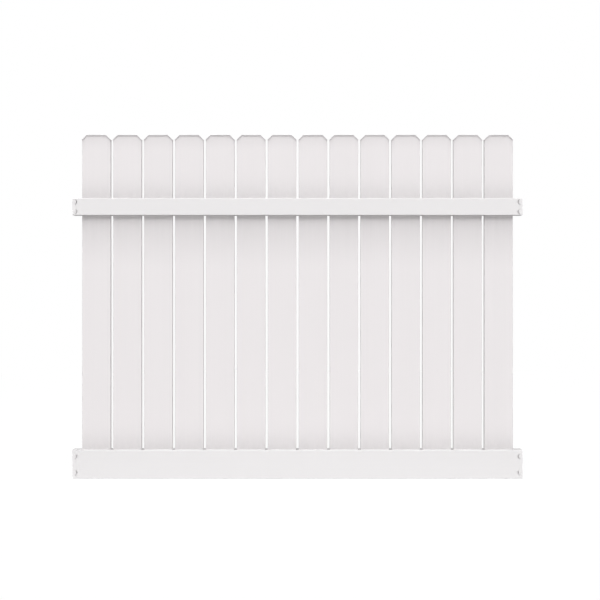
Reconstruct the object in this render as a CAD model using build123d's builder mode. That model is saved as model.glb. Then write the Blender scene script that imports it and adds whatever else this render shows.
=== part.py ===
"""Semi-privacy fence panel: hollow dog-ear pickets routed through two hollow rails."""
import math
import os

from build123d import *

# Pickets, in millimetres
picket_count = 14
picket_width = 152.4
picket_depth = 22.2
picket_gap = 12.7
picket_corner_radius = 3.0
picket_wall = 2.0
picket_web = 1.5
picket_cell_count = 3
picket_top = 1828.8
dog_ear_leg = 25.4

# End caps that close the pickets
cap_thickness = 2.0
cap_lip = 3.2
cap_side_lip = 0.6
cap_edge_bevel = 0.6
tongue_depth = 14.0
tongue_wall = 1.6
tongue_clearance = 0.3

# Rails
rail_depth = 50.8
rail_wall = 2.8
rail_corner_radius = 1.6
rail_inner_radius = 0.8
rail_overhang = 47.6
bottom_rail_height = 152.4
top_rail_height = 88.9
clear_between_rails = 1250.0
routing_clearance = 0.4

# Drain holes in the underside of the bottom rail
drain_count = 5
drain_diameter = 6.4

# Locking lugs, tabs punched outwards near the rail ends
lug_height = 28.0
lug_reach = 10.5
lug_rise = 4.5
lug_thickness = 2.2
lug_hinge_from_end = 11.2
lug_hinge_overlap = 1.5
lug_cut_clearance = 0.5
lug_tip_gap = 4.0
top_lug_offset = 25.5
bottom_lug_offset = 43.0

# Sizes that follow from the ones above
picket_pitch = picket_width + picket_gap
rail_length = 2 * rail_overhang + (picket_count - 1) * picket_pitch + picket_width
first_picket_x = rail_overhang + picket_width / 2
picket_centres = [first_picket_x + i * picket_pitch for i in range(picket_count)]
picket_length = picket_top - rail_wall
half_width = picket_width / 2
flat_half_width = half_width - dog_ear_leg
webs_across = (picket_cell_count - 1) * picket_web
cell_width = (picket_width - 2 * picket_wall - webs_across) / picket_cell_count
cell_depth = picket_depth - 2 * picket_wall
cell_pitch = cell_width + picket_web
cap_end = half_width + cap_side_lip
cap_drop = -dog_ear_leg - cap_side_lip
cap_fold = flat_half_width + cap_thickness * math.tan(math.pi / 8)
tongue_span = cell_depth - 2 * tongue_clearance
middle_tongue_width = cell_width - 2 * tongue_clearance
side_tongue_start = cell_width / 2 + picket_web + tongue_clearance
side_tongue_width = flat_half_width - side_tongue_start
side_tongue_middle = side_tongue_start + side_tongue_width / 2
top_rail_base = bottom_rail_height + clear_between_rails
routing_width = picket_width + 2 * routing_clearance
routing_depth = picket_depth + 2 * routing_clearance
routing_corner_cut = (picket_corner_radius + routing_clearance) * (2 - math.sqrt(2))
drained_gaps = [1 + i * (picket_count - 2) // (drain_count - 1) for i in range(drain_count)]
lug_half = lug_height / 2 - lug_cut_clearance
lug_tilt = math.asin(lug_rise / lug_reach)
lug_opening_reach = lug_reach + lug_tip_gap

os.makedirs("parts", exist_ok=True)


def lug_planes(rail_middle, offset, tilt):
    """Planes at the lug hinges of one rail, turned outwards about each hinge by the tilt."""
    planes = []
    for end_x, inward in ((0, 1), (rail_length, -1)):
        for outward in (-1, 1):
            for height in (rail_middle - offset, rail_middle + offset):
                planes.append(
                    Plane(
                        origin=(end_x + inward * lug_hinge_from_end, outward * rail_depth / 2, height),
                        x_dir=(inward * math.cos(tilt), outward * math.sin(tilt), 0),
                        z_dir=(-inward * math.sin(tilt), outward * math.cos(tilt), 0),
                    )
                )
    return planes


def hollow_rail(base, height, routing_height, lug_offset):
    """A routed rail with its punched lugs: the routing cuts down by its height from the top face."""
    middle = base + height / 2
    with BuildPart() as rail:
        with BuildSketch(Plane(origin=(0, 0, middle), x_dir=(0, 1, 0), z_dir=(1, 0, 0))):
            RectangleRounded(rail_depth, height, rail_corner_radius)
            RectangleRounded(
                rail_depth - 2 * rail_wall,
                height - 2 * rail_wall,
                rail_inner_radius,
                mode=Mode.SUBTRACT,
            )
        extrude(amount=rail_length)

        # Routed holes that the pickets pass through
        with BuildSketch(Plane.XY.offset(base + height)) as routing:
            with Locations(*[(x, 0) for x in picket_centres]):
                Rectangle(routing_width, routing_depth)
            chamfer(routing.vertices(), length=routing_corner_cut)
        extrude(amount=-routing_height, mode=Mode.SUBTRACT)

        # Round-ended openings that the lugs are punched from
        with BuildSketch(*lug_planes(middle, lug_offset, 0)):
            with BuildLine():
                ThreePointArc((0, -lug_height / 2), (lug_opening_reach, 0), (0, lug_height / 2))
                Line((0, lug_height / 2), (0, -lug_height / 2))
            make_face()
        extrude(amount=-2 * rail_wall, mode=Mode.SUBTRACT)

        # Lugs, bent outwards about their hinges
        with BuildSketch(*lug_planes(middle, lug_offset, lug_tilt)):
            with BuildLine():
                ThreePointArc((0, -lug_half), (lug_reach, 0), (0, lug_half))
                Polyline(
                    (0, lug_half),
                    (-lug_hinge_overlap, lug_half),
                    (-lug_hinge_overlap, -lug_half),
                    (0, -lug_half),
                )
            make_face()
        extrude(amount=-lug_thickness)
    return rail.part


# Bottom rail: routed through its top wall only, with drain holes in its underside
bottom_rail_blank = hollow_rail(0, bottom_rail_height, 2 * rail_wall, bottom_lug_offset)
with BuildPart() as bottom_rail:
    add(bottom_rail_blank)
    with BuildSketch(Plane.XY):
        with Locations(*[(picket_centres[gap] - picket_pitch / 2, 0) for gap in drained_gaps]):
            Circle(drain_diameter / 2)
    extrude(amount=2 * rail_wall, mode=Mode.SUBTRACT)
bottom_rail.part.label = "bottom_rail"
export_step(bottom_rail.part, "parts/bottom_rail.step")

# Top rail: routed right through, so that the pickets stand above it
top_rail_blank = hollow_rail(top_rail_base, top_rail_height, top_rail_height, top_lug_offset)
with BuildPart() as top_rail:
    add(top_rail_blank)
top_rail.part.label = "top_rail"
export_step(top_rail.part, "parts/top_rail.step")

for number, centre_x in enumerate(picket_centres, start=1):
    dog_ear_plane = Plane(origin=(centre_x, 0, picket_top), x_dir=(1, 0, 0), z_dir=(0, -1, 0))

    # Picket: extruded tube with webs, standing on the floor of the bottom rail
    with BuildPart() as picket:
        with BuildSketch(Plane(origin=(centre_x, 0, rail_wall))):
            RectangleRounded(picket_width, picket_depth, picket_corner_radius)
            with GridLocations(cell_pitch, 1, picket_cell_count, 1):
                Rectangle(cell_width, cell_depth, mode=Mode.SUBTRACT)
        extrude(amount=picket_length)
        with BuildSketch(dog_ear_plane):
            with BuildLine():
                Polyline(
                    (flat_half_width, 0),
                    (half_width, 0),
                    (half_width, -dog_ear_leg),
                    close=True,
                )
            make_face()
            mirror(about=Plane.YZ)
        extrude(amount=picket_depth, both=True, mode=Mode.SUBTRACT)
    picket.part.label = f"picket_{number:02d}"
    export_step(picket.part, f"parts/picket_{number:02d}.step")

    # Cap: a lid folded over the dog-ear, with hollow tongues that plug the cells
    with BuildPart() as picket_cap:
        with BuildSketch(dog_ear_plane):
            with BuildLine():
                Polyline(
                    (0, 0),
                    (flat_half_width, 0),
                    (cap_end, cap_drop),
                    (cap_end, cap_drop + cap_thickness * math.sqrt(2)),
                    (cap_fold, cap_thickness),
                    (0, cap_thickness),
                    close=True,
                )
            make_face()
            mirror(about=Plane.YZ)
        extrude(amount=picket_depth / 2 + cap_lip, both=True)
        outer_faces = picket_cap.faces().filter_by(lambda face: face.normal_at().Z > 0.5)
        chamfer(outer_faces.edges().filter_by(Axis.Y, reverse=True), length=cap_edge_bevel)
        with BuildSketch(Plane(origin=(centre_x, 0, picket_top))):
            Rectangle(middle_tongue_width, tongue_span)
            Rectangle(
                middle_tongue_width - 2 * tongue_wall,
                tongue_span - 2 * tongue_wall,
                mode=Mode.SUBTRACT,
            )
            with Locations((side_tongue_middle, 0), (-side_tongue_middle, 0)):
                Rectangle(side_tongue_width, tongue_span)
                Rectangle(
                    side_tongue_width - 2 * tongue_wall,
                    tongue_span - 2 * tongue_wall,
                    mode=Mode.SUBTRACT,
                )
        extrude(amount=-tongue_depth)
    picket_cap.part.label = f"picket_cap_{number:02d}"
    export_step(picket_cap.part, f"parts/picket_cap_{number:02d}.step")
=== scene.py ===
"""Vinyl semi-privacy fence panel: finishes for its pickets, caps and rails, on a plain stage."""
import math

import bpy
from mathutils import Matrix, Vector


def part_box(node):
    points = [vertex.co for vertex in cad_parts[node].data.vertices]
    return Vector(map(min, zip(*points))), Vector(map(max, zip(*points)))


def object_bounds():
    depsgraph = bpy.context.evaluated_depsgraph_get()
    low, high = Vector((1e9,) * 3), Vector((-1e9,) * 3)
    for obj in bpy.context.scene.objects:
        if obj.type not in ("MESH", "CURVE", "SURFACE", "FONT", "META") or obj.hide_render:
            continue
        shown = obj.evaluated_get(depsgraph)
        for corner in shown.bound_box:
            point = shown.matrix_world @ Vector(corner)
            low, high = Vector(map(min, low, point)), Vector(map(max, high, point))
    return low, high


bl_info = {
    "name": "Semi-privacy fence panel",
    "version": (1, 0, 0),
    "blender": (4, 5, 0),
    "location": "3D View > Sidebar > Fence panel",
    "description": "Finishes a vinyl fence panel and sets a plain studio stage around it",
    "category": "Object",
}

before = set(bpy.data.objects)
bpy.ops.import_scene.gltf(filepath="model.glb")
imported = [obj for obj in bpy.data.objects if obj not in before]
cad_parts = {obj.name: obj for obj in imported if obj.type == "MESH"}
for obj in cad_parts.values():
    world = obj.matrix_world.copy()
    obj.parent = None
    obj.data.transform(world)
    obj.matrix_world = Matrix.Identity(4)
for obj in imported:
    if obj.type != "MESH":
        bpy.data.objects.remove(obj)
cad_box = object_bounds()

PICKETS = sorted(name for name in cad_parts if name.startswith("picket_") and "cap" not in name)
CAPS = sorted(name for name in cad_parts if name.startswith("picket_cap_"))
RAILS = ("bottom_rail", "top_rail")

# Places on the panel, in metres
PANEL_LENGTH = cad_box[1].x - cad_box[0].x
PICKET_CENTRES = [sum(corner.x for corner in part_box(name)) / 2 for name in PICKETS]
PICKET_PITCH = PICKET_CENTRES[1] - PICKET_CENTRES[0]
PICKET_HALF_WIDTH = PICKET_CENTRES[0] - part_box(PICKETS[0])[0].x
RAIL_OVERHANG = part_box(PICKETS[0])[0].x - cad_box[0].x
PICKET_WEB_OFFSET = 0.02505
DOG_EAR_START = 0.0508
LUG_HINGE_FROM_END = 0.0112

# How far the lugs are above and below the middle of their rail, in metres
LUG_OFFSETS = {"bottom_rail": 0.043, "top_rail": 0.0255}

# Spots to the metre along X, Y and Z in each noise pattern
PICKET_LINES = (420.0, 420.0, 1.2)
PICKET_CLOUDS = (9.0, 9.0, 0.9)
RAIL_LINES = (1.2, 420.0, 420.0)
RAIL_CLOUDS = (0.9, 9.0, 9.0)
CAP_GRAIN = (900.0, 900.0, 900.0)
CORNER_SHADE_SPOTS = (55.0, 55.0, 35.0)
CAP_TOP_SHADE_SPOTS = (90.0, 90.0, 90.0)
RAIL_SHADE_SPOTS = (30.0, 60.0, 60.0)
BELOW_SHADE_SPOTS = (50.0, 50.0, 4.0)
LUG_CRAZING = (300.0, 300.0, 1500.0)
SAW_MARKS = (1.0, 700.0, 40.0)

# How many finer layers a noise pattern has
PLAIN_DETAIL = 2.0
SKIN_DETAIL = 3.0
SHADE_PATCH_DETAIL = 4.0

# How far apart the patterns of two nodes can be, along the noise's fourth axis
PATTERN_SPREAD = 60.0

# The range of a noise pattern that counts, for the painted shade's patches, grain, gloss, and lines and
# clouds added up
SHADE_PATCH_RANGE = (0.3, 0.7)
GRAIN_RANGE = (0.25, 0.75)
GLOSS_RANGE = (0.2, 0.8)
TONE_RANGE = (0.5, 1.5)

# Share of the painted shade that is left where its patches are thinnest
THIN_CORNER_SHADE = 0.75
THIN_CAP_TOP_SHADE = 0.75
THIN_RAIL_SHADE = 0.8
THIN_BELOW_SHADE = 0.83

# Share of painted shade on the pickets' sides, of painted shadow below the caps, and of painted shade on
# the rails' ends
SIDE_SHADE_SHARE = 0.75
BELOW_CAP_SHADE_SHARE = 0.5
END_SHADE_SHARE = 0.3

# Reach of the painted shadow below the caps, as a share of its reach below the top rail
BELOW_CAP_SHADE_REACH = 1 / 3

# How fast the painted shade and shadow fade out on the way to their reach, as a power
CORNER_SHADE_FADE = 3.0
BELOW_RAIL_SHADE_FADE = 1.5
BELOW_CAP_SHADE_FADE = 2.0

# How far a surface turns up, along its normal's Z, where the painted shade on tops starts and where it
# is full
CAP_TOP_SHADE_TILTS = (0.2, 0.8)
RAIL_TOP_SHADE_TILTS = (0.65, 0.98)
FLAT_TOP_TILTS = (0.9, 0.99)

# The same for undersides: where the painted shade is full and where it ends
UNDERSIDE_TILTS = (-0.98, -0.8)

# How far a surface turns along the panel, where the painted shade on the sides or the saw marks start
# and are full
SIDE_SHADE_TILTS = (0.2, 0.8)
CUT_END_TILTS = (0.6, 0.95)

# Widths of soft edges and marks, in metres
GAP_SHADE_EDGE = 0.006
END_SHADE_EDGE = 0.001
WEB_SINK_WIDTH = 0.004

# Where the marks of a lug's bend are full and where they end, in metres across the hinge
LUG_BEND_REACH = (0.001, 0.009)

# How a distance along the hinge counts, next to one across it
LUG_BEND_STRETCH = 0.35

# Depths of bumps, in metres
CLOUD_DEPTH = 0.0006
LINE_DEPTH = 0.00003
WEB_SINK_DEPTH = 0.00006
GRAIN_DEPTH = 0.00006
CRAZING_DEPTH = 0.0001
SAW_MARK_DEPTH = 0.00015

# How far the roughness swings about its middle with the lines and the grain
LINE_SWING = 0.06
GRAIN_SWING = 0.08

# What the places of painted shade, bending and sawing add to the roughness
PICKET_SHADE_ROUGHNESS = 0.15
RAIL_SHADE_ROUGHNESS = 0.45
BEND_ROUGHNESS = 0.18
CUT_ROUGHNESS = 0.25

# Gloss of bare vinyl
VINYL_IOR = 1.5
VINYL_SPECULAR_LEVEL = 0.4

# How far from the panel the floor starts to turn white and where it is white, in metres
FLOOR_FADE = (2.5, 7.0)

# How far a direction turns to the front or back where the side glow starts to give way and has gone
GLOW_SIDES = (0.15, 0.6)

# Where the front glow passes into the rear glow, along a direction's Y
GLOW_TURN = (-0.1, 0.1)

# How high a direction is where the glow starts to fade, and where it ends in front and behind
GLOW_FOOT = 0.2
GLOW_CEILINGS = (0.42, 0.8)

# How far from the origin the lamps stand, in metres
LAMP_DISTANCE = 4.0

WHITE = (1.0, 1.0, 1.0, 1.0)


class VinylFinish(bpy.types.PropertyGroup):
    """Colours, painted shade and surface texture of the vinyl."""

    picket_colour: bpy.props.FloatVectorProperty(
        name="Picket colour",
        description="Colour of the extruded pickets",
        default=(0.84, 0.808, 0.815),
        min=0.0,
        max=1.0,
        subtype="COLOR",
    )
    cap_colour: bpy.props.FloatVectorProperty(
        name="Cap colour",
        description="Colour of the moulded caps on the picket tops",
        default=(0.83, 0.812, 0.814),
        min=0.0,
        max=1.0,
        subtype="COLOR",
    )
    rail_colour: bpy.props.FloatVectorProperty(
        name="Rail colour",
        description="Colour of the extruded rails",
        default=(0.834, 0.818, 0.822),
        min=0.0,
        max=1.0,
        subtype="COLOR",
    )
    tone_spread: bpy.props.FloatProperty(
        name="Tone spread",
        description="How far the die lines, clouds and grain lighten and darken the colour",
        default=0.015,
        min=0.0,
        max=0.2,
        subtype="FACTOR",
    )
    extruded_roughness: bpy.props.FloatProperty(
        name="Extruded roughness",
        description="Middle roughness of the satin extruded skin",
        default=0.42,
        min=0.0,
        max=1.0,
        subtype="FACTOR",
    )
    # Painted shade: how far the painted shade darkens the pickets by the rails, below the top rail and
    # caps, and on their sides
    painted_darkening: bpy.props.FloatProperty(
        name="Dust",
        description="How far dust and streaks dull the pickets next to the rails and on their sides",
        default=0.235,
        min=0.0,
        max=1.0,
        subtype="FACTOR",
    )
    # Painted shade: how far the painted shade in the corners above a rail reaches up the pickets
    corner_shade_reach: bpy.props.FloatProperty(
        name="Dust reach",
        description="How far above a rail the dust reaches up the pickets",
        default=0.2,
        min=0.001,
        unit="LENGTH",
    )
    # Painted shadow: how far the painted shadow below the top rail reaches down the pickets
    below_rail_shade_reach: bpy.props.FloatProperty(
        name="Runoff reach",
        description="How far below the top rail the rain streaks reach down the pickets",
        default=0.3,
        min=0.001,
        unit="LENGTH",
    )
    # Painted shade: how far the tops of the caps and rails are darkened
    top_shade_depth: bpy.props.FloatProperty(
        name="Top dust",
        description="How far dust dulls the surfaces of the caps and rails that face up",
        default=0.4,
        min=0.0,
        max=1.0,
        subtype="FACTOR",
    )
    # Painted shade: how far the tops and undersides of the rails are darkened where no picket stands
    gap_shade_depth: bpy.props.FloatProperty(
        name="Gap dirt",
        description="How far dirt darkens the tops and undersides of the rails where no picket stands",
        default=0.39,
        min=0.0,
        max=1.0,
        subtype="FACTOR",
    )
    moulded_roughness: bpy.props.FloatProperty(
        name="Moulded roughness",
        description="Middle roughness of the matt moulded caps",
        default=0.55,
        min=0.0,
        max=1.0,
        subtype="FACTOR",
    )


class StageSettings(bpy.types.PropertyGroup):
    """Floor, light and camera around the panel."""

    camera_place: bpy.props.FloatVectorProperty(
        name="Camera place",
        description="Where the camera stands, looking level along +Y",
        default=(1.2104, -4.458, 0.9503),
        subtype="TRANSLATION",
        unit="LENGTH",
    )
    lens: bpy.props.FloatProperty(
        name="Lens",
        description="Focal length of the camera",
        default=50.0,
        min=10.0,
        unit="CAMERA",
    )
    key_strength: bpy.props.FloatProperty(
        name="Key strength",
        description="Light of the soft lamp in front of and above the panel",
        default=3.46,
        min=0.0,
    )
    key_height: bpy.props.FloatProperty(
        name="Key height",
        description="Angle of the key lamp above the horizon",
        default=math.radians(64),
        subtype="ANGLE",
    )
    key_spread: bpy.props.FloatProperty(
        name="Key spread",
        description="Angle across the key lamp, which sets how soft its shadows are",
        default=math.radians(36),
        subtype="ANGLE",
    )
    overhead_strength: bpy.props.FloatProperty(
        name="Overhead strength",
        description="Light of the soft lamp nearly above the panel",
        default=0.42,
        min=0.0,
    )
    overhead_height: bpy.props.FloatProperty(
        name="Overhead height",
        description="Angle of the overhead lamp above the horizon",
        default=math.radians(79),
        subtype="ANGLE",
    )
    overhead_spread: bpy.props.FloatProperty(
        name="Overhead spread",
        description="Angle across the overhead lamp",
        default=math.radians(12),
        subtype="ANGLE",
    )
    front_glow: bpy.props.FloatProperty(
        name="Front glow",
        description="Light from the horizon on the camera's side",
        default=1.11,
        min=0.0,
    )
    rear_glow: bpy.props.FloatProperty(
        name="Rear glow",
        description="Light from the horizon behind the panel",
        default=1.6,
        min=0.0,
    )
    side_glow: bpy.props.FloatProperty(
        name="Side glow",
        description="Light from the horizon off the panel's ends",
        default=0.8,
        min=0.0,
    )
    floor_tone: bpy.props.FloatProperty(
        name="Floor tone",
        description="Grey of the floor where it is seen",
        default=0.8,
        min=0.0,
        max=1.0,
        subtype="FACTOR",
    )
    bounce_tone: bpy.props.FloatProperty(
        name="Bounce tone",
        description="Grey of the floor for the light that it throws back on the panel",
        default=0.38,
        min=0.0,
        max=1.0,
        subtype="FACTOR",
    )
    floor_size: bpy.props.FloatProperty(
        name="Floor size",
        description="Length of the floor's sides",
        default=80.0,
        min=1.0,
        unit="LENGTH",
    )
    floor_whiteness: bpy.props.FloatProperty(
        name="Floor whiteness",
        description="Share of plain white in the floor that the camera sees; the rest shows the shadow",
        default=0.93,
        min=0.0,
        max=1.0,
        subtype="FACTOR",
    )


def add_node(tree, kind, inputs=None, **settings):
    """Adds a node, with its settings, and fills its inputs with values or with other nodes' outputs."""
    made = tree.nodes.new(kind)
    for key, value in settings.items():
        setattr(made, key, value)
    for key, value in (inputs or {}).items():
        if isinstance(value, bpy.types.NodeSocket):
            tree.links.new(value, made.inputs[key])
        else:
            made.inputs[key].default_value = value
    return made


def calculate(tree, operation, *values):
    """The output of a maths node with those values."""
    made = add_node(tree, "ShaderNodeMath", dict(enumerate(values)), operation=operation)
    return made.outputs["Value"]


def product(tree, first, *others):
    """All the values multiplied."""
    for other in others:
        first = calculate(tree, "MULTIPLY", first, other)
    return first


def largest(tree, first, *others):
    """The largest of the values."""
    for other in others:
        first = calculate(tree, "MAXIMUM", first, other)
    return first


def blend(tree, share, first, second):
    """The first value where the share is 0 and the second where it is 1."""
    inputs = {"Factor": share, "A": first, "B": second}
    return add_node(tree, "ShaderNodeMix", inputs, data_type="FLOAT").outputs[0]


def remap(tree, value, old, new, smooth=False):
    """The value moved from one range to another, held at the ends."""
    made = add_node(
        tree,
        "ShaderNodeMapRange",
        {"Value": value, "From Min": old[0], "From Max": old[1], "To Min": new[0], "To Max": new[1]},
        interpolation_type="SMOOTHSTEP" if smooth else "LINEAR",
    )
    return made.outputs["Result"]


def noise(tree, spots, shift, detail=PLAIN_DETAIL):
    """Noise from 0 to 1 with that many spots to the metre along X, Y and Z."""
    place = add_node(tree, "ShaderNodeTexCoord").outputs["Object"]
    stretched = add_node(tree, "ShaderNodeMapping", {"Vector": place, "Scale": spots})
    made = add_node(
        tree,
        "ShaderNodeTexNoise",
        {"Vector": stretched.outputs["Vector"], "W": shift, "Scale": 1.0, "Detail": detail},
        noise_dimensions="4D",
    )
    return made.outputs["Fac"]


def object_place(tree):
    """The X, Y and Z outputs of a point's place on the panel."""
    place = add_node(tree, "ShaderNodeTexCoord").outputs["Object"]
    return add_node(tree, "ShaderNodeSeparateXYZ", {0: place}).outputs


def own_shift(tree):
    """A number for each node, so that no two share a pattern."""
    chance = add_node(tree, "ShaderNodeObjectInfo").outputs["Random"]
    return calculate(tree, "MULTIPLY", chance, PATTERN_SPREAD)


def facing(tree, axis):
    """How far a surface faces along an axis: from -1 to 1."""
    normal = add_node(tree, "ShaderNodeNewGeometry").outputs["Normal"]
    return add_node(tree, "ShaderNodeSeparateXYZ", {0: normal}).outputs[axis]


def up_facing(tree, tilts):
    """1 on surfaces that face up, 0 on sides, with a ramp between the two tilts."""
    return remap(tree, facing(tree, "Z"), tilts, (0.0, 1.0))


def down_facing(tree):
    """1 on undersides, 0 on sides."""
    return remap(tree, facing(tree, "Z"), UNDERSIDE_TILTS, (1.0, 0.0))


def end_facing(tree, tilts):
    """1 on surfaces that face along the panel, 0 on fronts, with a ramp between the two tilts."""
    return remap(tree, calculate(tree, "ABSOLUTE", facing(tree, "X")), tilts, (0.0, 1.0))


def patches(tree, spots, thinnest):
    """How thick the patchy painted shade lies, from its thinnest share to 1."""
    return remap(tree, noise(tree, spots, own_shift(tree), SHADE_PATCH_DETAIL), SHADE_PATCH_RANGE, (thinnest, 1.0))


def fade(tree, distance, reach, power):
    """1 at no distance, falling to 0 at the reach, faster with a higher power."""
    return calculate(tree, "POWER", remap(tree, distance, (0.0, reach), (1.0, 0.0)), power)


def darkened(tree, level, painted_darkening, depth):
    """The level, lowered by the depth where shade is painted."""
    return product(tree, level, remap(tree, painted_darkening, (0.0, 1.0), (1.0, 1.0 - depth)))


def add_colour(tree, shader, colour, level):
    """The shader's colour: the base colour times the level."""
    made = add_node(tree, "ShaderNodeVectorMath", {0: colour, "Scale": level}, operation="SCALE")
    tree.links.new(made.outputs["Vector"], shader.inputs["Base Color"])


def add_roughness(tree, shader, pattern, middle, swing, *extra_roughness):
    """The shader's roughness: its middle, swinging with a pattern, plus (share, addition) pairs."""
    roughness = remap(tree, pattern, GLOSS_RANGE, (middle - swing, middle + swing))
    for share, addition in extra_roughness:
        roughness = calculate(tree, "MULTIPLY_ADD", share, addition, roughness)
    tree.links.new(roughness, shader.inputs["Roughness"])


def add_bumps(tree, shader, *heights):
    """The shader's normal from (height from 0 to 1, depth in metres) pairs."""
    normal = None
    for height, depth in heights:
        inputs = {"Height": height, "Strength": 1.0, "Distance": depth}
        if normal:
            inputs["Normal"] = normal
        normal = add_node(tree, "ShaderNodeBump", inputs).outputs["Normal"]
    tree.links.new(normal, shader.inputs["Normal"])


def new_vinyl(name):
    """A bare vinyl material: the material, its node tree and its shader."""
    material = bpy.data.materials.new(name)
    material.use_nodes = True
    tree = material.node_tree
    shader = tree.nodes["Principled BSDF"]
    shader.inputs["IOR"].default_value = VINYL_IOR
    shader.inputs["Specular IOR Level"].default_value = VINYL_SPECULAR_LEVEL
    return material, tree, shader


def assign(material, names):
    """Puts the material on those CAD nodes."""
    for name in names:
        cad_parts[name].material_slots[0].material = material


def from_picket_middle(tree, along):
    """How far a point is along the panel from the middle of the nearest picket."""
    first = PICKET_CENTRES[0]
    steps = calculate(tree, "DIVIDE", calculate(tree, "SUBTRACT", along, first), PICKET_PITCH)
    nearest = calculate(tree, "MAXIMUM", calculate(tree, "ROUND", steps), 0.0)
    nearest = calculate(tree, "MINIMUM", nearest, len(PICKETS) - 1.0)
    middle = calculate(tree, "MULTIPLY_ADD", nearest, PICKET_PITCH, first)
    return calculate(tree, "ABSOLUTE", calculate(tree, "SUBTRACT", along, middle))


def from_panel_end(tree, along):
    """How far a point is along the panel from the nearer end of the rails."""
    return calculate(tree, "MINIMUM", along, calculate(tree, "SUBTRACT", PANEL_LENGTH, along))


def die_lines(tree, line_spots, cloud_spots, spread):
    """Lines and clouds that the extrusion leaves: both patterns, and the level of the colour."""
    shift = own_shift(tree)
    lines = noise(tree, line_spots, shift, SKIN_DETAIL)
    clouds = noise(tree, cloud_spots, shift)
    tone = calculate(tree, "ADD", lines, clouds)
    return lines, clouds, remap(tree, tone, TONE_RANGE, (1.0 - spread, 1.0 + spread))


def painted_corner_shade(tree, height, reach):
    """Painted shade on the pickets in the corners above both rails: most at a rail, fading out upwards.
    """
    bottom_rail_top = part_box("bottom_rail")[1].z
    top_rail_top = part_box("top_rail")[1].z
    above_bottom = calculate(tree, "SUBTRACT", height, bottom_rail_top)
    above_top = calculate(tree, "SUBTRACT", height, top_rail_top)
    on_bottom = fade(tree, above_bottom, reach, CORNER_SHADE_FADE)
    on_top = fade(tree, above_top, reach, CORNER_SHADE_FADE)
    on_top = product(tree, on_top, calculate(tree, "GREATER_THAN", height, top_rail_top))
    patchy = patches(tree, CORNER_SHADE_SPOTS, THIN_CORNER_SHADE)
    return product(tree, largest(tree, on_bottom, on_top), patchy)


def painted_shadow_below(tree, aside, height, reach):
    """Painted shadow, in patchy streaks, on the pickets below the top rail and, fainter, below the caps.
    """
    top_rail_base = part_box("top_rail")[0].z
    below_rail = calculate(tree, "SUBTRACT", top_rail_base, height)
    from_rail = fade(tree, below_rail, reach, BELOW_RAIL_SHADE_FADE)
    from_rail = product(tree, from_rail, calculate(tree, "LESS_THAN", height, top_rail_base))
    slope = calculate(tree, "MAXIMUM", calculate(tree, "SUBTRACT", aside, DOG_EAR_START), 0.0)
    cap_height = calculate(tree, "SUBTRACT", cad_box[1].z, slope)
    below_cap = calculate(tree, "SUBTRACT", cap_height, height)
    from_cap = fade(tree, below_cap, reach * BELOW_CAP_SHADE_REACH, BELOW_CAP_SHADE_FADE)
    both = calculate(tree, "MULTIPLY_ADD", from_cap, BELOW_CAP_SHADE_SHARE, from_rail)
    return product(tree, both, patches(tree, BELOW_SHADE_SPOTS, THIN_BELOW_SHADE))


def web_sinks(tree, aside):
    """Faint hollows in the picket faces over the two inner webs: 0 at a web, 1 elsewhere."""
    from_web = calculate(tree, "ABSOLUTE", calculate(tree, "SUBTRACT", aside, PICKET_WEB_OFFSET))
    return remap(tree, from_web, (0.0, WEB_SINK_WIDTH), (0.0, 1.0), smooth=True)


def bare_stretches(tree, along):
    """1 along a rail where no picket stands, 0 at the pickets."""
    aside = from_picket_middle(tree, along)
    edge = (PICKET_HALF_WIDTH - GAP_SHADE_EDGE, PICKET_HALF_WIDTH)
    return remap(tree, aside, edge, (0.0, 1.0), smooth=True)


def gap_share(tree, along):
    """1 along a rail from the first picket to the last, less on the ends beyond them."""
    edge = (RAIL_OVERHANG - END_SHADE_EDGE, RAIL_OVERHANG)
    return remap(tree, from_panel_end(tree, along), edge, (END_SHADE_SHARE, 1.0))


def painted_shade_in_gaps(tree, along, patchy):
    """Painted shade where no picket stands: in patches on the flat top of a rail, and on its underside.
    """
    bare = bare_stretches(tree, along)
    painted_gap_shade = product(tree, up_facing(tree, FLAT_TOP_TILTS), patchy, bare, gap_share(tree, along))
    underside_shade = product(tree, down_facing(tree), bare)
    return largest(tree, painted_gap_shade, underside_shade)


def lug_bend(tree, name, along, height):
    """1 along the bends of a rail's punched lugs, fading out round them."""
    lowest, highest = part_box(name)
    middle = (lowest.z + highest.z) / 2
    across_hinge = calculate(tree, "SUBTRACT", from_panel_end(tree, along), LUG_HINGE_FROM_END)
    from_middle = calculate(tree, "ABSOLUTE", calculate(tree, "SUBTRACT", height, middle))
    along_hinge = calculate(tree, "SUBTRACT", from_middle, LUG_OFFSETS[name])
    stretched = product(tree, along_hinge, LUG_BEND_STRETCH)
    offset = add_node(tree, "ShaderNodeCombineXYZ", {"X": across_hinge, "Y": 0.0, "Z": stretched})
    distance = add_node(tree, "ShaderNodeVectorMath", {0: offset.outputs["Vector"]}, operation="LENGTH")
    return remap(tree, distance.outputs["Value"], LUG_BEND_REACH, (1.0, 0.0), smooth=True)


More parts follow.
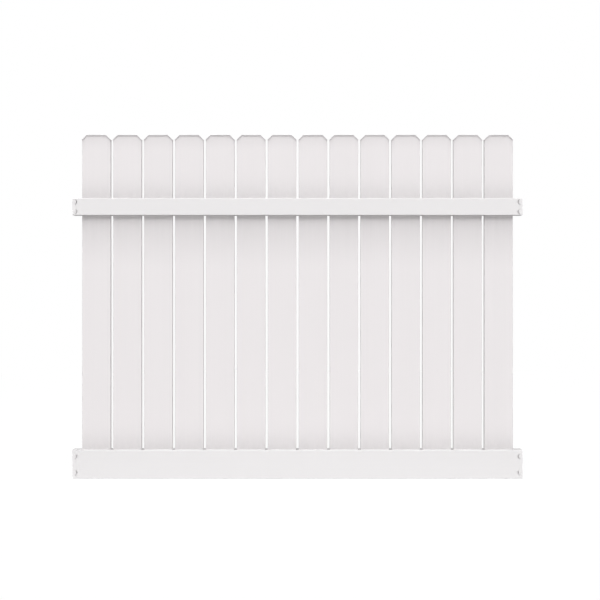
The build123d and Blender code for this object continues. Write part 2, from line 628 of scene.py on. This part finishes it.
class FENCE_OT_finish_pickets(bpy.types.Operator):
    """Give the pickets their satin vinyl, with die lines up their length and painted shade by the rails,
    below the caps and on their sides.
    """

    bl_idname = "fence.finish_pickets"
    bl_label = "Finish pickets"

    def execute(self, context):
        finish = context.scene.fence_finish
        material, tree, shader = new_vinyl("picket_vinyl_satin")
        place = object_place(tree)
        aside = from_picket_middle(tree, place["X"])
        lines, clouds, level = die_lines(tree, PICKET_LINES, PICKET_CLOUDS, finish.tone_spread)
        # Painted shade in the corners above the rails
        corners = painted_corner_shade(tree, place["Z"], finish.corner_shade_reach)
        # Painted shadow below the top rail and the caps
        shade_below = painted_shadow_below(tree, aside, place["Z"], finish.below_rail_shade_reach)
        # Painted shade on the pickets' side faces in the gaps
        sides = product(tree, end_facing(tree, SIDE_SHADE_TILTS), SIDE_SHADE_SHARE)
        painted_darkening = largest(tree, corners, shade_below, sides)
        # All the painted shade together darkens the picket colour
        add_colour(tree, shader, finish.picket_colour, darkened(tree, level, painted_darkening, finish.painted_darkening))
        extra_roughness = (painted_darkening, PICKET_SHADE_ROUGHNESS)
        add_roughness(tree, shader, lines, finish.extruded_roughness, LINE_SWING, extra_roughness)
        sinks = web_sinks(tree, aside)
        add_bumps(tree, shader, (clouds, CLOUD_DEPTH), (sinks, WEB_SINK_DEPTH), (lines, LINE_DEPTH))
        assign(material, PICKETS)
        return {"FINISHED"}


class FENCE_OT_finish_caps(bpy.types.Operator):
    """Give the picket caps their matt moulded vinyl, with painted shade on top."""

    bl_idname = "fence.finish_caps"
    bl_label = "Finish caps"

    def execute(self, context):
        finish = context.scene.fence_finish
        material, tree, shader = new_vinyl("cap_vinyl_matt")
        grain = noise(tree, CAP_GRAIN, own_shift(tree), SKIN_DETAIL)
        level = remap(tree, grain, GRAIN_RANGE, (1.0 - finish.tone_spread, 1.0 + finish.tone_spread))
        patchy = patches(tree, CAP_TOP_SHADE_SPOTS, THIN_CAP_TOP_SHADE)
        # Painted shade on the caps' tops
        painted_darkening = product(tree, up_facing(tree, CAP_TOP_SHADE_TILTS), patchy)
        add_colour(tree, shader, finish.cap_colour, darkened(tree, level, painted_darkening, finish.top_shade_depth))
        add_roughness(tree, shader, grain, finish.moulded_roughness, GRAIN_SWING)
        add_bumps(tree, shader, (grain, GRAIN_DEPTH))
        assign(material, CAPS)
        return {"FINISHED"}


class FENCE_OT_finish_rails(bpy.types.Operator):
    """Give the rails their satin vinyl, with die lines along their length, painted shade on top and in
    the gaps, and sawn ends.
    """

    bl_idname = "fence.finish_rails"
    bl_label = "Finish rails"

    def execute(self, context):
        finish = context.scene.fence_finish
        for name in RAILS:
            material, tree, shader = new_vinyl(f"{name}_vinyl_satin")
            place = object_place(tree)
            lines, clouds, level = die_lines(tree, RAIL_LINES, RAIL_CLOUDS, finish.tone_spread)
            patchy = patches(tree, RAIL_SHADE_SPOTS, THIN_RAIL_SHADE)
            # Painted shade on the rails' tops
            painted_darkening = product(tree, up_facing(tree, RAIL_TOP_SHADE_TILTS), patchy)
            level = darkened(tree, level, painted_darkening, finish.top_shade_depth)
            # Painted shade in the gaps between the pickets, on the rails' tops and undersides
            level = darkened(tree, level, painted_shade_in_gaps(tree, place["X"], patchy), finish.gap_shade_depth)
            add_colour(tree, shader, finish.rail_colour, level)
            bend = lug_bend(tree, name, place["X"], place["Z"])
            cut = end_facing(tree, CUT_END_TILTS)
            extra_roughness = ((painted_darkening, RAIL_SHADE_ROUGHNESS), (bend, BEND_ROUGHNESS), (cut, CUT_ROUGHNESS))
            add_roughness(tree, shader, lines, finish.extruded_roughness, LINE_SWING, *extra_roughness)
            crazing = product(tree, bend, noise(tree, LUG_CRAZING, 0.0))
            saw_marks = product(tree, cut, noise(tree, SAW_MARKS, own_shift(tree)))
            skin = ((clouds, CLOUD_DEPTH), (lines, LINE_DEPTH))
            add_bumps(tree, shader, *skin, (crazing, CRAZING_DEPTH), (saw_marks, SAW_MARK_DEPTH))
            assign(material, [name])
        return {"FINISHED"}


def seen_directly(tree):
    """1 for rays that the camera, a reflection or a see-through surface sends, and 0 for light."""
    path = add_node(tree, "ShaderNodeLightPath").outputs
    return largest(tree, path["Is Camera Ray"], path["Is Glossy Ray"], path["Is Transmission Ray"])


def build_floor(stage):
    """A pale floor under the panel that keeps a faint shadow and fades to white far away."""
    lowest, highest = cad_box
    middle = (lowest + highest) / 2
    half = stage.floor_size / 2
    mesh = bpy.data.meshes.new("floor")
    signs = ((-1, -1), (1, -1), (1, 1), (-1, 1))
    corners = [(middle.x + x * half, middle.y + y * half, lowest.z) for x, y in signs]
    mesh.from_pydata(corners, [], [(0, 1, 2, 3)])
    floor = bpy.data.objects.new("floor", mesh)
    bpy.context.scene.collection.objects.link(floor)

    material = bpy.data.materials.new("floor_pale")
    material.use_nodes = True
    tree = material.node_tree
    tree.nodes.clear()
    place = add_node(tree, "ShaderNodeNewGeometry").outputs["Position"]
    away = add_node(tree, "ShaderNodeVectorMath", {0: place, 1: middle}, operation="DISTANCE")
    whiteness = remap(tree, away.outputs["Value"], FLOOR_FADE, (stage.floor_whiteness, 1.0), smooth=True)
    seen = seen_directly(tree)
    share = product(tree, seen, whiteness)
    tone = blend(tree, seen, stage.bounce_tone, stage.floor_tone)
    lit = add_node(tree, "ShaderNodeBsdfDiffuse", {"Color": tone})
    white = add_node(tree, "ShaderNodeEmission", {"Strength": 1.0})
    mixed = add_node(tree, "ShaderNodeMixShader", {0: share, 1: lit.outputs[0], 2: white.outputs[0]})
    add_node(tree, "ShaderNodeOutputMaterial", {"Surface": mixed.outputs[0]})
    mesh.materials.append(material)


def build_world(stage):
    """White where it is seen; for light, a glow along the horizon, higher behind the panel."""
    world = bpy.data.worlds.new("studio")
    world.use_nodes = True
    tree = world.node_tree
    tree.nodes.clear()
    direction = add_node(tree, "ShaderNodeTexCoord").outputs["Generated"]
    parts = add_node(tree, "ShaderNodeSeparateXYZ", {0: direction}).outputs
    off_sides = calculate(tree, "ABSOLUTE", parts["Y"])
    ahead_share = remap(tree, off_sides, GLOW_SIDES, (0.0, 1.0), smooth=True)
    ahead = remap(tree, parts["Y"], GLOW_TURN, (stage.front_glow, stage.rear_glow))
    glow = blend(tree, ahead_share, stage.side_glow, ahead)
    ceiling = remap(tree, parts["Y"], GLOW_TURN, GLOW_CEILINGS)
    above_glow = remap(tree, parts["Z"], (GLOW_FOOT, ceiling), (0.0, 1.0), smooth=True)
    light = blend(tree, above_glow, glow, 0.0)
    level = blend(tree, seen_directly(tree), light, 1.0)
    background = add_node(tree, "ShaderNodeBackground", {"Color": WHITE, "Strength": level})
    add_node(tree, "ShaderNodeOutputWorld", {"Surface": background.outputs[0]})
    bpy.context.scene.world = world


def add_lamp(name, strength, height, spread):
    """A soft distant lamp in front of the panel, at that angle above the horizon."""
    lamp = bpy.data.lights.new(name, "SUN")
    lamp.energy = strength
    lamp.angle = spread
    made = bpy.data.objects.new(name, lamp)
    made.rotation_euler = (math.pi / 2 - height, 0.0, 0.0)
    made.location = (0.0, -LAMP_DISTANCE * math.cos(height), LAMP_DISTANCE * math.sin(height))
    bpy.context.scene.collection.objects.link(made)


class FENCE_OT_set_stage(bpy.types.Operator):
    """Set the floor, the light and the camera around the panel."""

    bl_idname = "fence.set_stage"
    bl_label = "Set stage"

    def execute(self, context):
        stage = context.scene.fence_stage
        build_floor(stage)
        build_world(stage)
        add_lamp("key", stage.key_strength, stage.key_height, stage.key_spread)
        add_lamp("overhead", stage.overhead_strength, stage.overhead_height, stage.overhead_spread)
        camera = bpy.data.cameras.new("camera")
        camera.lens = stage.lens
        made = bpy.data.objects.new("camera", camera)
        made.location = stage.camera_place
        made.rotation_euler = (math.pi / 2, 0.0, 0.0)
        context.scene.collection.objects.link(made)
        context.scene.camera = made
        context.scene.view_settings.view_transform = "Standard"
        return {"FINISHED"}


OPERATORS = (
    FENCE_OT_finish_pickets,
    FENCE_OT_finish_caps,
    FENCE_OT_finish_rails,
    FENCE_OT_set_stage,
)


class FENCE_PT_panel(bpy.types.Panel):
    """Lists the finishes and the stage in the sidebar."""

    bl_label = "Fence panel"
    bl_idname = "FENCE_PT_panel"
    bl_space_type = "VIEW_3D"
    bl_region_type = "UI"
    bl_category = "Fence panel"

    def draw(self, context):
        for settings in (context.scene.fence_finish, context.scene.fence_stage):
            box = self.layout.box()
            for name in settings.__annotations__:
                box.prop(settings, name)
        for operator in OPERATORS:
            self.layout.operator(operator.bl_idname)


CLASSES = (VinylFinish, StageSettings, *OPERATORS, FENCE_PT_panel)


def register():
    """Adds the classes, and their settings to every scene."""
    for cls in CLASSES:
        bpy.utils.register_class(cls)
    bpy.types.Scene.fence_finish = bpy.props.PointerProperty(type=VinylFinish)
    bpy.types.Scene.fence_stage = bpy.props.PointerProperty(type=StageSettings)


def unregister():
    """Takes the settings and the classes away again."""
    del bpy.types.Scene.fence_stage
    del bpy.types.Scene.fence_finish
    for cls in reversed(CLASSES):
        bpy.utils.unregister_class(cls)


def main():
    """Registers the classes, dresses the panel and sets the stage."""
    register()
    bpy.ops.fence.finish_pickets()
    bpy.ops.fence.finish_caps()
    bpy.ops.fence.finish_rails()
    bpy.ops.fence.set_stage()


if __name__ == "__main__":
    main()
